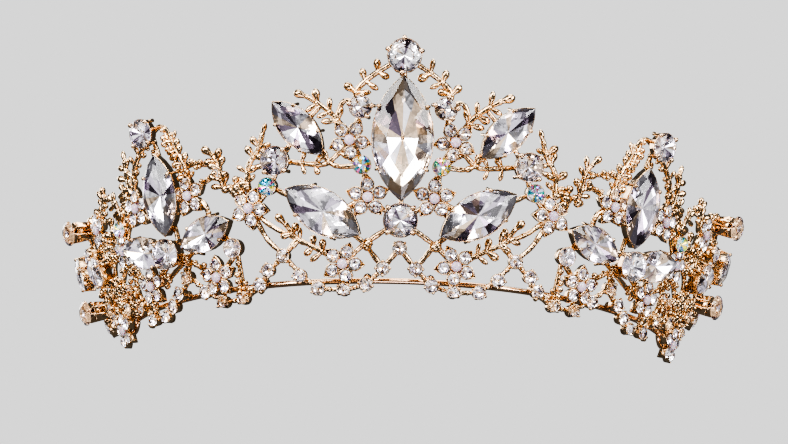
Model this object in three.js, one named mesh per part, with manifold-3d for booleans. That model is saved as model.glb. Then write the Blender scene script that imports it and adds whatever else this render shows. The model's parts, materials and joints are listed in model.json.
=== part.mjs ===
// A bridal tiara: five openwork castings, soldered end to end round a headband wire, that carry
// claw-set crystals. Millimetres, +Z up, front towards -Y, standing on its lower edge at z = 0.
//
// The openwork is drawn as a flat pattern and then bent round a cone. A place in the pattern is
// [around, height]: the distance round from the centre line, and the distance up the slant.
import * as THREE from "three";
import { mergeVertices } from "three/addons/utils/BufferGeometryUtils.js";
import Module from "manifold-3d";

const wasm = await Module();
wasm.setup();

// ---- Driving dimensions ----

const RIM_RADIUS = 62.5; // the castings' middle surface, at the rim
const FLARE = THREE.MathUtils.degToRad(15); // the openwork leans out from the rim
const LEAN_DEGREES = 3; // the whole cone leans forward when it stands
const LEAN = THREE.MathUtils.degToRad(LEAN_DEGREES);
const FOOT_TRIM = 1; // cut off the lowest rim cups, so that they stand flat
const METAL = 1.2; // thickness of a casting
const STEM = 1.1; // diameter of a cast stem
const GAP = 0.3; // cement or solder between two pieces that touch

const WIRE = 1.3; // diameter of the headband wire
const WIRE_SETBACK = 2; // from the rim's middle surface in to the wire
const WIRE_HEIGHT = 2.2;
const WIRE_TAIL = 3.8; // past the last lug, before the eyelet
const EYELET_RADIUS = 2.4; // loop at each end of the wire, for a hair grip
const LUG = 1.6; // side of a square lug that reaches back to the wire

const CLAW = 0.8; // width and thickness of a claw
const CLAW_REACH = 1.4; // how far a claw's foot runs in under its stone
const CLAW_COVER = 0.5; // height of a claw above the girdle
const GIRDLE = 0.3; // thickness of a stone's girdle
const CLAWED_WIDTH = 5; // a wider stone has claws, and a narrower one is cemented
const SEAT_INSET = 0.5; // a seat is this much smaller than its stone, all round
const CUP_FOOT_SHARE = 0.65; // a claw cup's foot against its stone's radius
const MARQUISE_CLAW = [0.78, 0.47]; // a marquise's claws, as shares of its half width and half length

// The end panels are soldered on a little askew: the far end is raised on the right and lowered on the left.
const END_RISE = 2.4;
const RISE_START = 80; // distance round at which the rise begins
const RISE_END = 97; // and where it is whole

const FLOWER_RADIUS = 4.1;
const FLOWER_WAIST = 2.7; // between two petals
const RIM_CUP_RADIUS = 1.9; // small closed cup for one rim crystal
const RIM_CUP_HEIGHT = 2;
const SLIVER = 0.04; // edges shorter than this are merged where cast pieces cross

const BUD_LENGTH = 3.4; // from the far side of its stem
const BUD_RADIUS = 0.7;

const CENTRE_MARQUISE = [13.2, 26.4]; // width, length
const END_ROUND = 7.4; // the rounds above and below the centre marquise
const BASE_ROUND_HEIGHT = 14.4;
const ARCH_TOP = [0, 8.6]; // the rim's arch under the base round
const ARCH_FOOT = [3.4, 4.3];
const centreHeight = BASE_ROUND_HEIGHT + END_ROUND / 2 + GAP + CENTRE_MARQUISE[1] / 2;
const topHeight = centreHeight + CENTRE_MARQUISE[1] / 2 + GAP + END_ROUND / 2;

/** The radius of a marquise's two arcs. */
const arcRadiusOf = ([width, length]) => (length ** 2 + width ** 2) / (4 * width);

/** The place of a round stone beside the centre marquise, above or below its middle, with room between them. */
function besideCentre(above, width, room) {
  const arcRadius = arcRadiusOf(CENTRE_MARQUISE);
  const shoulder = Math.sqrt(arcRadius ** 2 - above ** 2) - arcRadius + CENTRE_MARQUISE[0] / 2;
  return [shoulder + room + width / 2, centreHeight + above];
}

// ---- Finishes ----

const gold = new THREE.MeshStandardMaterial({ color: 0xd8a066, roughness: 0.25, metalness: 1 });
const crystal = new THREE.MeshStandardMaterial({ color: 0xe9e2ea, roughness: 0.05, metalness: 0.1 });
const aurora = new THREE.MeshStandardMaterial({ color: 0xb58fd0, roughness: 0.05, metalness: 0.3 });

// ---- The flat pattern ----
// Stones: size is [width, length], depth is the height of the slope above or below the girdle, tilt
// turns the length from upright towards the outside in degrees, turn faces the stone back towards the
// front in degrees. A cup height makes the stone's setting a claw cup of its own, and a lift raises a
// seat that is cast in the panel. The rim is runs of small cups, with a bar from each to the next.
// Each stop on a bar's route is a place, or the name of one. Links stop short of the panel next to them.

const ON_CENTRE_LINE = {
  base_round: { at: [0, BASE_ROUND_HEIGHT], size: [END_ROUND, END_ROUND], depth: 1.4, cup: 1 },
  centre_marquise: { at: [0, centreHeight], size: CENTRE_MARQUISE, depth: 1.5 },
  top_round: { at: [0, topHeight], size: [END_ROUND, END_ROUND], depth: 1.4, cup: 1 },
};

const CENTRE_SIDE = {
  stones: {
    crest_round: { at: besideCentre(6.4, 5, CLAW), size: [5, 5], depth: 1, cup: 1 },
    wing_round: { at: [26.2, 27.5], size: [6.4, 6.4], depth: 1.2, cup: 1 },
    inner_aurora: { at: besideCentre(-5.7, 4, 2 * GAP), size: [4, 4], depth: 0.8, finish: aurora },
    outer_aurora: { at: [28.4, 22.3], size: [4, 4], depth: 0.8, finish: aurora },
    upper_marquise: { at: [21.9, 34.1], size: [7.6, 15.6], depth: 1.2, tilt: 42 },
    lower_marquise: { at: [16, 16.3], size: [9.4, 18.6], depth: 1.5, tilt: 57 },
  },
  flowers: { high: [11, 31.2], middle: [6.9, 19.2], low: [11.8, 5.3], outer: [33, 18.2] },
  rim: [[ARCH_FOOT, [6.8, 0.9], [11.4, -0.3], [16.8, 0.2], [20.9, 3.1], [24.7, 7.5], [28.1, 4.7], [29.9, 1.8]]],
  sprigs: [
    { path: ["crest_round", [10, 41], [7.2, 44.2], "top_round"], buds: 3, spread: 70 },
    { path: ["high", [14.2, 35.8], [17.5, 38.6], [21.2, 40.9]], buds: 3, spread: 50 },
    { path: ["wing_round", [19.4, 26.4], [15.5, 26.6], "high"], buds: 3, spread: 65 },
    { path: ["low", [18.3, 9], [22, 10.9], [25, 14.6]], buds: 3, spread: 60 },
    { path: ["outer", [33.8, 26.3], [31.6, 30], [30.4, 33.8]], buds: 3, spread: 50 },
    { path: ["leaf", [39.8, 23.4], [41.2, 28.2], [43.4, 31]], buds: 3, spread: 60 },
  ],
  joints: { strut: [7.3, 9.4], leaf: [36.4, 22.4] },
  bars: [
    ["crest_round", "high"],
    ["crest_round", [12.4, 39.4], [14.2, 35.8]],
    ["high", "inner_aurora", "middle", "base_round"],
    ["inner_aurora", [13, 25.6], [15.5, 26.6]],
    ["upper_marquise", [17.5, 38.6]],
    ["upper_marquise", "wing_round", "outer_aurora", "outer", "leaf"],
    ["upper_marquise", [15.5, 26.6]],
    ["wing_round", [33.8, 26.3]],
    ["outer_aurora", "lower_marquise", "middle"],
    ["base_round", "strut", "low"],
    ["strut", "lower_marquise"],
    ["strut", ARCH_FOOT],
    ["low", [11.4, -0.3]],
    [[22, 10.9], [28, 14], "outer"],
    [[24.7, 7.5], [22, 10.9]],
    [[24.7, 7.5], [29, 11.5], "outer"],
  ],
  lugs: [6.8, 20.9, 29.9],
};

const SIDE_PANEL = {
  stones: {
    peak_round: { at: [60.8, 37.9], size: [6.4, 6.4], depth: 1.2, cup: 1, turn: 5 },
    upright_marquise: { at: [56.2, 24], size: [9.2, 17.6], depth: 1.5, turn: 7 },
    inner_leaf_marquise: { at: [43.3, 14], size: [7.4, 14], depth: 1.2, tilt: 106 },
    outer_leaf_marquise: { at: [62.9, 13.2], size: [7, 13.8], depth: 1, tilt: 75, turn: 7 },
    bud_round: { at: [52.8, 11.3], size: [6.6, 6.6], depth: 1.2, cup: 2.3, turn: 10 },
    seam_round: { at: [36.3, 10.2], size: [4.2, 4.2], depth: 0.9 },
    side_aurora: { at: [73.6, 20.2], size: [3.6, 3.6], depth: 0.7, finish: aurora, turn: 15 },
  },
  flowers: { high: [48.9, 22.8], low: [40.8, 4.6], foot: [61.6, 5.9], outer: [66.3, 23.2], edge: [73, 15.6] },
  rim: [[[33.9, -0.7], [39, -0.9], [43.9, 1.9], [49.2, 5.7], [51.7, 2.6], [53.7, 0.3], [56.3, -1.5], [61.2, -1.2],
    [66.3, 2.2]]],
  sprigs: [
    { path: ["high", [50.4, 29], [53, 33], [55, 37]], buds: 4, spread: 55 },
    { path: ["outer", [67.8, 29], [66.6, 33], "peak_round"], buds: 3, spread: 50 },
    { path: ["outer", [70.4, 28.5], [71.6, 34.5]], buds: 3, spread: 45 },
    { path: ["side_aurora", [75.4, 24], [79, 27.5]], buds: 2, spread: 60 },
    { path: ["side_aurora", [71.8, 24], [73, 28.5]], buds: 2, spread: 50 },
  ],
  joints: { stalk: [50.2, 9.6] },
  bars: [
    ["peak_round", [57.4, 38.6], [54.2, 33], [51.6, 27.4], "high"],
    ["peak_round", "upright_marquise", "outer", "side_aurora", "edge"],
    ["upright_marquise", "bud_round", "outer_leaf_marquise", "edge"],
    ["high", "upright_marquise"],
    ["bud_round", "stalk", "inner_leaf_marquise", "seam_round", "low"],
    ["stalk", "low"],
    ["stalk", [49.2, 5.7]],
    ["high", [44.6, 20], "inner_leaf_marquise"],
    ["seam_round", [35, 4], [33.9, -0.7]],
    ["low", [39, -0.9]],
    ["outer_leaf_marquise", "foot", [61.2, -1.2]],
    ["bud_round", "foot"],
    ["foot", [66.3, 2.2]],
  ],
  links: [["high", [44.6, 25.2], [42.9, 25.6]], [[50.4, 29], [47.6, 29.2], [45.4, 28.8]],
    [[33.9, -0.7], [32, 0.4]]],
  lugs: [43.9, 51.7, 66.3],
};

const END_PANEL = {
  stones: {
    end_peak_round: { at: [101, 28.6], size: [5.6, 5.6], depth: 1.1, cup: 3.3, turn: 20 },
    end_outer_marquise: { at: [104.2, 20.8], size: [7, 13.6], depth: 1.2, tilt: 58, lift: 2 },
    end_inner_marquise: { at: [87, 15.4], size: [6.4, 11.6], depth: 1.1, tilt: 60, lift: 1 },
    end_small_round: { at: [94.3, 21.4], size: [3.8, 3.8], depth: 0.8, lift: 1 },
    end_base_round: { at: [96.7, 10.6], size: [5.6, 5.6], depth: 1.1, cup: 3.3, turn: 20 },
  },
  flowers: { foot: [77.3, -0.3], high: [88.4, 24.6], back: [107.4, 11.4] },
  rim: [[[70.9, 6.6], [72.6, 3.3]], [[82, 3.2], [85.5, 6.6]]],
  sprigs: [
    { path: ["high", [93, 27.5], "end_peak_round"], buds: 3, spread: 60 },
    { path: ["high", [85.6, 27.4], [83.6, 30.4]], buds: 2, spread: 50 },
    { path: ["end_inner_marquise", [80.5, 17], [80.6, 22.6]], buds: 3, spread: 50 },
    { path: ["end_outer_marquise", [108.4, 24.4], [107, 30]], buds: 3, spread: 50 },
  ],
  joints: { stalk: [77.6, 8.6] },
  bars: [
    ["end_peak_round", "end_outer_marquise", "end_small_round", "end_inner_marquise"],
    ["high", "end_small_round"],
    ["high", "end_inner_marquise", "stalk", "foot"],
    ["end_base_round", "end_small_round"],
    ["end_base_round", "back", "end_outer_marquise"],
    ["stalk", [70.9, 6.6]],
    [[72.6, 3.3], "foot", [82, 3.2]],
    [[85.5, 6.6], "end_base_round"],
  ],
  links: [["stalk", [75.4, 11.3]], [[80.5, 20], [77.8, 19.9]], [[70.9, 6.6], [68.9, 4.4]]],
  lugs: [72.6],
};

// ---- Outlines ----

/** A marquise: two arcs that meet in a point at each end, its length along y. */
function marquise([width, length], inset = 0) {
  const [halfWidth, halfLength] = [width / 2 - inset, length / 2 - inset];
  const arcRadius = arcRadiusOf([width - 2 * inset, length - 2 * inset]);
  const sweep = Math.asin(halfLength / arcRadius);
  const perSide = 5;
  const points = [];
  for (const side of [1, -1])
    for (let i = 0; i < perSide; i++) {
      const turn = side * sweep * ((2 * i) / perSide - 1);
      const across = arcRadius * Math.cos(turn) - arcRadius + halfWidth;
      points.push(new THREE.Vector2(side * across, arcRadius * Math.sin(turn)));
    }
  return points;
}

/** A circle as a regular polygon. */
function circle(radius, sides) {
  return Array.from({ length: sides }, (_, i) => {
    const turn = (2 * Math.PI * (i + 0.5)) / sides;
    return new THREE.Vector2(radius * Math.cos(turn), radius * Math.sin(turn));
  });
}

/** A five-petalled flower, with a petal upright. */
function flowerOutline() {
  return Array.from({ length: 10 }, (_, i) => {
    const radius = i % 2 ? FLOWER_WAIST : FLOWER_RADIUS;
    const turn = Math.PI / 2 + (Math.PI * i) / 5;
    return new THREE.Vector2(radius * Math.cos(turn), radius * Math.sin(turn));
  });
}

const isRound = (stone) => stone.size[0] === stone.size[1];
const outlineOf = (stone, inset = 0) =>
  isRound(stone) ? circle(stone.size[0] / 2 - inset, 8) : marquise(stone.size, inset);

// ---- Places on the cone ----

/** The frame at a place: x runs round the cone, y up the slant and z out of it, raised by proud. */
function spot([around, height], proud = 0, turnDegrees = 0) {
  const radius = RIM_RADIUS + height * Math.sin(FLARE);
  const angle = around / radius;
  const facing = angle - Math.sign(around) * THREE.MathUtils.degToRad(turnDegrees);
  const across = new THREE.Vector3(Math.cos(facing), Math.sin(facing), 0);
  const outward = new THREE.Vector3(Math.sin(facing), -Math.cos(facing), 0)
    .multiplyScalar(Math.cos(FLARE))
    .setZ(-Math.sin(FLARE));
  const up = new THREE.Vector3().crossVectors(outward, across);
  const centre = new THREE.Vector3(radius * Math.sin(angle), -radius * Math.cos(angle), height * Math.cos(FLARE));
  return new THREE.Matrix4().makeBasis(across, up, outward).setPosition(centre.addScaledVector(outward, proud));
}

/** The frame of a stone: spot, turned so that y is the stone's length. */
function stoneFrame(stone, proud = 0) {
  const tilt = -Math.sign(stone.at[0] || 1) * THREE.MathUtils.degToRad(stone.tilt ?? 0);
  return spot(stone.at, proud, stone.turn).multiply(new THREE.Matrix4().makeRotationZ(tilt));
}

/** A panel whose far end is raised by a rise. */
function raised(panel, rise) {
  const share = (around) => THREE.MathUtils.clamp((around - RISE_START) / (RISE_END - RISE_START), 0, 1);
  const lift = (stop) => (typeof stop === "string" ? stop : [stop[0], stop[1] + rise * share(stop[0])]);
  const route = (stops) => stops.map(lift);
  const mapped = (named, change) => Object.fromEntries(Object.entries(named).map(([key, item]) => [key, change(item)]));
  return {
    stones: mapped(panel.stones, (stone) => ({ ...stone, at: lift(stone.at) })),
    flowers: mapped(panel.flowers, lift),
    joints: mapped(panel.joints, lift),
    rim: panel.rim.map(route),
    sprigs: panel.sprigs.map((item) => ({ ...item, path: route(item.path) })),
    bars: panel.bars.map(route),
    links: panel.links.map(route),
    lugs: panel.lugs,
  };
}

/** The same stone or place on the other side of the centre line. */
const mirrored = ([around, height], side) => [side * around, height];

// ---- Solids ----

/** A closed geometry as a solid that can be joined and cut. */
function solid(geometry, matrix = new THREE.Matrix4()) {
  const bare = geometry.index ? geometry.toNonIndexed() : geometry.clone();
  bare.deleteAttribute("normal");
  bare.deleteAttribute("uv");
  const merged = mergeVertices(bare.applyMatrix4(matrix), 1e-4);
  return new wasm.Manifold(
    new wasm.Mesh({
      numProp: 3,
      vertProperties: merged.attributes.position.array,
      triVerts: new Uint32Array(merged.index.array),
    }),
  );
}

/** A solid as a named mesh. */
function meshOf(name, joined, material) {
  const { vertProperties, triVerts } = joined.getMesh();
  const geometry = new THREE.BufferGeometry();
  geometry.setAttribute("position", new THREE.BufferAttribute(vertProperties, 3));
  geometry.setIndex(new THREE.BufferAttribute(triVerts, 1));
  const mesh = new THREE.Mesh(geometry, material);
  mesh.name = name;
  return mesh;
}

/** A plate of an outline, from z = low to z = high. */
function plate(outline, low, high) {
  const flat = new THREE.ExtrudeGeometry(new THREE.Shape(outline), { depth: high - low, bevelEnabled: false });
  return flat.translate(0, 0, low);
}

/** A round bar along a smooth route in the pattern. */
function bar(route, side) {
  const centres = route.map((place) => new THREE.Vector3().setFromMatrixPosition(spot(mirrored(place, side))));
  return new THREE.ExtrudeGeometry(new THREE.Shape(circle(STEM / 2, 4)), {
    steps: route.length > 2 ? 2 * route.length - 2 : 1,
    extrudePath: new THREE.CatmullRomCurve3(centres),
    bevelEnabled: false,
  });
}

/** A claw: a foot under the stone and a post outside its edge, which is at x = 0. */
function clawGeometry(footLow, footTop, top) {
  const profile = [
    [-CLAW_REACH, footLow],
    [GAP + CLAW, footLow],
    [GAP + CLAW, top],
    [GAP, top],
    [GAP, footTop],
    [-CLAW_REACH, footTop],
  ];
  const shape = new THREE.Shape(profile.map(([x, y]) => new THREE.Vector2(x, y)));
  const claw = new THREE.ExtrudeGeometry(shape, { depth: CLAW, bevelEnabled: false });
  return claw.translate(0, 0, -CLAW / 2).rotateX(Math.PI / 2);
}

/** Four claws for a stone, in the stone's frame, on a foot between two heights. */
function claws(stone, footLow, footTop) {
  const top = footTop + GAP + stone.depth + GIRDLE + CLAW_COVER;
  const [halfWidth, halfLength] = [stone.size[0] / 2, stone.size[1] / 2];
  const solids = [];
  for (const sideways of [1, -1])
    for (const lengthways of [1, -1]) {
      const [shareX, shareY] = isRound(stone) ? [Math.SQRT1_2, Math.SQRT1_2] : MARQUISE_CLAW;
      const [x, y] = [sideways * halfWidth * shareX, lengthways * halfLength * shareY];
      const arcCentre = isRound(stone) ? 0 : sideways * (halfWidth - arcRadiusOf(stone.size));
      const heading = Math.atan2(y, x - arcCentre); // square to the outline
      const place = new THREE.Matrix4().makeTranslation(x, y, 0).multiply(new THREE.Matrix4().makeRotationZ(heading));
      solids.push(solid(clawGeometry(footLow, footTop, top), place));
    }
  return solids;
}

/** The height of a stone's back above the castings' middle surface. */
const backHeight = (stone) => METAL / 2 + GAP + (stone.cup ? stone.cup + GAP : (stone.lift ?? 0));

/** A cut stone: a table, a sloping crown, a thin girdle and a sloping back. */
function stoneMesh(name, stone) {
  const cut = new THREE.ExtrudeGeometry(new THREE.Shape(outlineOf(stone)), {
    depth: GIRDLE,
    bevelThickness: stone.depth,
    bevelSize: stone.depth,
    bevelOffset: -stone.depth,
    bevelSegments: 1,
  });
  const mesh = new THREE.Mesh(cut.translate(0, 0, stone.depth), stone.finish ?? crystal);
  mesh.name = name;
  mesh.applyMatrix4(stoneFrame(stone, backHeight(stone)));
  return mesh;
}

/** A claw cup: a tapered body with four claws, soldered on the casting. */
function cupMesh(name, stone) {
  const radius = stone.size[0] / 2;
  const body = new THREE.CylinderGeometry(radius - SEAT_INSET, CUP_FOOT_SHARE * radius, stone.cup, 6);
  const parts = [solid(body.rotateX(Math.PI / 2).translate(0, 0, stone.cup / 2))];
  parts.push(...claws(stone, stone.cup - CLAW, stone.cup));
  const mesh = meshOf(name, wasm.Manifold.union(parts), gold);
  mesh.applyMatrix4(stoneFrame(stone, METAL / 2 + GAP));
  return mesh;
}

/** The part of a casting that carries one stone: a pad under a cup, or a seat with claws. */
function seat(stone) {
  const frame = stoneFrame(stone);
  if (stone.cup) {
    const pad = circle(CUP_FOOT_SHARE * (stone.size[0] / 2), 6);
    return [solid(plate(pad, -METAL / 2, METAL / 2), frame)];
  }
  const top = METAL / 2 + (stone.lift ?? 0);
  const parts = [solid(plate(outlineOf(stone, SEAT_INSET), -METAL / 2, top))];
  if (stone.size[0] > CLAWED_WIDTH) parts.push(...claws(stone, top - METAL, top));
  return [wasm.Manifold.union(parts).transform(frame.elements)];
}

/** A teardrop bud that stands on a stem at a place and points along a heading in the pattern. */
function bud(place, heading, side) {
  const drop = new THREE.CylinderGeometry(BUD_RADIUS, 0, BUD_LENGTH, 4);
  const turned = new THREE.Matrix4().makeRotationZ(side * (heading - Math.PI / 2));
  return solid(drop.translate(0, BUD_LENGTH / 2 - STEM, 0), spot(mirrored(place, side)).multiply(turned));
}

/** A sprig: a curved stem with buds along it, to one side and the other in turn, and one at its tip. */
function sprig({ route, buds, spread }, side) {
  const stem = new THREE.CatmullRomCurve3(route.map(([around, height]) => new THREE.Vector3(around, height, 0)));
  const solids = [solid(bar(route, side))];
  for (let i = 0; i <= buds; i++) {
    const along = 0.4 + (0.6 * i) / buds;
    const { x, y } = stem.getPointAt(along);
    const tangent = stem.getTangentAt(along);
    const heading = Math.atan2(tangent.y, tangent.x);
    const turn = i === buds ? 0 : THREE.MathUtils.degToRad(i % 2 ? spread : -spread);
    solids.push(bud([x, y], heading + turn, side));
  }
  return solids;
}

/** A lug that reaches back from the rim to the headband wire. */
function lug(around) {
  const height = WIRE_HEIGHT / Math.cos(FLARE);
  const depth = (WIRE_SETBACK + height * Math.sin(FLARE) - WIRE / 2 - GAP) / Math.cos(FLARE);
  return solid(new THREE.BoxGeometry(LUG, LUG, depth), spot([around, height], -depth / 2));
}

/** A small closed cup of the rim. */
const rimCup = (place) =>
  solid(plate(circle(RIM_CUP_RADIUS, 6), -METAL / 2, RIM_CUP_HEIGHT - METAL / 2), spot(place));

/** The cast pieces of one panel on one side of the centre line: +1 is +X and -1 is -X. */
function panelSolids(panel, side, shared = {}) {
  const { stones, flowers, rim, sprigs, joints, bars, links = [], lugs } = panel;
  const named = { ...shared, ...stones };
  const placeOf = (key) => (typeof key === "string" ? (flowers[key] ?? joints[key] ?? named[key].at) : key);
  const routeOf = (keys) => keys.map(placeOf);
  const own = Object.values(stones).map((stone) => ({ ...stone, at: mirrored(stone.at, side) }));
  const rimBars = rim.flatMap((run) => run.slice(1).map((place, i) => [run[i], place]));
  return [
    ...own.flatMap(seat),
    ...Object.values(flowers).map((place) =>
      solid(plate(flowerOutline(), -METAL / 2, METAL / 2), spot(mirrored(place, side)))),
    ...rim.flat().map((place) => rimCup(mirrored(place, side))),
    ...sprigs.flatMap(({ path, buds, spread }) => sprig({ route: routeOf(path), buds, spread }, side)),
    ...[...rimBars, ...bars.map(routeOf), ...links.map(routeOf)].map((route) => solid(bar(route, side))),
    ...lugs.map((around) => lug(side * around)),
  ];
}

/** The castings, each with its pieces in one, cut flat where the crown stands: their meshes and the table's height. */
function castings(panels) {
  const joined = panels.map(([name, solids]) => [name, wasm.Manifold.union(solids)]);
  const lowest = Math.min(...joined.map(([, whole]) => whole.rotate([LEAN_DEGREES, 0, 0]).boundingBox().min[2]));
  const tableHeight = lowest + FOOT_TRIM;
  const reach = 4 * RIM_RADIUS;
  const table = new THREE.BoxGeometry(reach, reach, reach).translate(0, 0, tableHeight - reach / 2);
  const below = solid(table, new THREE.Matrix4().makeRotationX(-LEAN));
  const meshes = joined.map(([name, whole]) =>
    meshOf(name, whole.subtract(below).asOriginal().simplify(SLIVER), gold));
  return { meshes, tableHeight };
}

/** The headband: a round wire bent behind the rim, with an eyelet at each end. */
function headbandWire() {
  const bends = 18;
  const wireRadius = RIM_RADIUS - WIRE_SETBACK;
  const endAngle = (END_PANEL.lugs.at(-1) + WIRE_TAIL) / RIM_RADIUS;
  const at = (angle) => new THREE.Vector3(wireRadius * Math.sin(angle), -wireRadius * Math.cos(angle), WIRE_HEIGHT);
  const centres = Array.from({ length: bends + 1 }, (_, i) => at(endAngle * ((2 * i) / bends - 1)));
  const wire = new THREE.ExtrudeGeometry(new THREE.Shape(circle(WIRE / 2, 6)), {
    steps: 2 * bends,
    extrudePath: new THREE.CatmullRomCurve3(centres),
    bevelEnabled: false,
  });
  const parts = [solid(wire)];
  for (const side of [1, -1]) {
    const angle = side * (endAngle + EYELET_RADIUS / wireRadius);
    const eyelet = new THREE.TorusGeometry(EYELET_RADIUS, WIRE / 2, 5, 10);
    const upright = new THREE.Matrix4().makeRotationZ(angle).multiply(new THREE.Matrix4().makeRotationX(Math.PI / 2));
    parts.push(solid(eyelet, upright.setPosition(at(angle))));
  }
  return meshOf("headband_wire", wasm.Manifold.union(parts), gold);
}

/** A stone and, where it has one, its cup. */
function setting(name, stone) {
  const meshes = [stoneMesh(name, stone)];
  if (stone.cup) meshes.push(cupMesh(name + "_cup", stone));
  return meshes;
}

// ---- Assembly ----

const crown = new THREE.Group();
crown.rotation.x = LEAN;

const centreSolids = Object.values(ON_CENTRE_LINE).flatMap(seat);
for (const side of [1, -1]) centreSolids.push(...panelSolids(CENTRE_SIDE, side, ON_CENTRE_LINE));
const arch = [mirrored(ARCH_FOOT, -1), ARCH_TOP, ARCH_FOOT];
const spine = Object.values(ON_CENTRE_LINE).map((stone) => stone.at);
centreSolids.push(rimCup(ARCH_TOP), solid(bar(arch, 1)), solid(bar(spine, 1)));

const hands = [["right", 1], ["left", -1]];
const endPanel = (side) => raised(END_PANEL, side * END_RISE);
const sidePanels = hands.map(([hand, side]) => [hand + "_side_panel", panelSolids(SIDE_PANEL, side)]);
const endPanels = hands.map(([hand, side]) => [hand + "_end_panel", panelSolids(endPanel(side), side)]);
const { meshes, tableHeight } = castings([["centre_panel", centreSolids], ...sidePanels, ...endPanels]);
crown.add(...meshes, headbandWire());

for (const [name, stone] of Object.entries(ON_CENTRE_LINE)) crown.add(...setting(name, stone));
for (const [hand, side] of hands)
  for (const panel of [CENTRE_SIDE, SIDE_PANEL, endPanel(side)])
    for (const [name, stone] of Object.entries(panel.stones))
      crown.add(...setting(hand + "_" + name, { ...stone, at: mirrored(stone.at, side) }));

// The origin is on the table, under the middle of the crown's box.
const box = new THREE.Box3().setFromObject(crown, true);
crown.position.set(-(box.min.x + box.max.x) / 2, -(box.min.y + box.max.y) / 2, -tableHeight);

export default crown;
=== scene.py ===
"""A bridal tiara in rose gold with cut crystals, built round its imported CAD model.

The openwork is laid out as a flat pattern and bent round a flared cone. A place in the pattern is
(around, height) in millimetres: the distance round from the centre line and the distance up the slant.
"""

import json
import logging
import math
import random
from collections.abc import Iterable, Sequence
from dataclasses import dataclass, field
from enum import Enum

import bmesh
import bpy
from mathutils import Matrix, Vector
from mathutils.geometry import interpolate_bezier

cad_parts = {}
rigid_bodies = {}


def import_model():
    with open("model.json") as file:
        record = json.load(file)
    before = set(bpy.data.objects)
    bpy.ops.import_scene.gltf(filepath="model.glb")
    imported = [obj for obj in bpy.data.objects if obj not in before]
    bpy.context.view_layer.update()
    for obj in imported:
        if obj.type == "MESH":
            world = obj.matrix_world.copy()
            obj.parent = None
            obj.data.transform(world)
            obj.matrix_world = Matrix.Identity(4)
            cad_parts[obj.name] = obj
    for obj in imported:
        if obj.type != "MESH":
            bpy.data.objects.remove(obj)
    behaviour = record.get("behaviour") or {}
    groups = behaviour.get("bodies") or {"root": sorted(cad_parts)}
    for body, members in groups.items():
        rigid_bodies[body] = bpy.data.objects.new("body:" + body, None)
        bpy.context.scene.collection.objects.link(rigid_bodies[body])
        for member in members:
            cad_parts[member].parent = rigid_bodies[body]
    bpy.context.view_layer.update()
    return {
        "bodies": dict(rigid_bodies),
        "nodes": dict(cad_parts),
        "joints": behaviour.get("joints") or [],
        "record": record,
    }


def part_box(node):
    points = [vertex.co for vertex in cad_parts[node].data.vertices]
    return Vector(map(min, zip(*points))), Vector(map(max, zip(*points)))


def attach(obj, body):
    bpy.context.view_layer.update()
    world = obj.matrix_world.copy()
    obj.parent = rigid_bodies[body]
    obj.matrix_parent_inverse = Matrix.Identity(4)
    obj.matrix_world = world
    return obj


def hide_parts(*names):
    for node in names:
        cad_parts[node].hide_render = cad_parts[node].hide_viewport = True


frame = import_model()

LOG = logging.getLogger("tiara")
MM = 0.001
BODY = "root"

CUP_DEPTH = 0.33  # a claw cup's bowl, its foot and its waist, as shares of its stone's width
CUP_FOOT = 0.32
CUP_WAIST = 0.24
STONE_MARGIN = 0.7  # clear round a stone, with no rough beads
FLOWER_CLEAR = 4.0  # and round a flower's middle
PEBBLE_SPREAD = 1.1  # how far a rough bead strays from its stem

UP = Vector((0, 0, 1))

Place = tuple[float, float]
Stop = str | Place


# ---- Finishes -------------------------------------------------------------------------------


class Slot(Enum):
    """The record's material slots."""

    CASTING = "casting"
    WIRE = "headband_wire"
    CUP = "claw_cup"
    CRYSTAL = "crystal"
    AURORA = "aurora_crystal"


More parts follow.
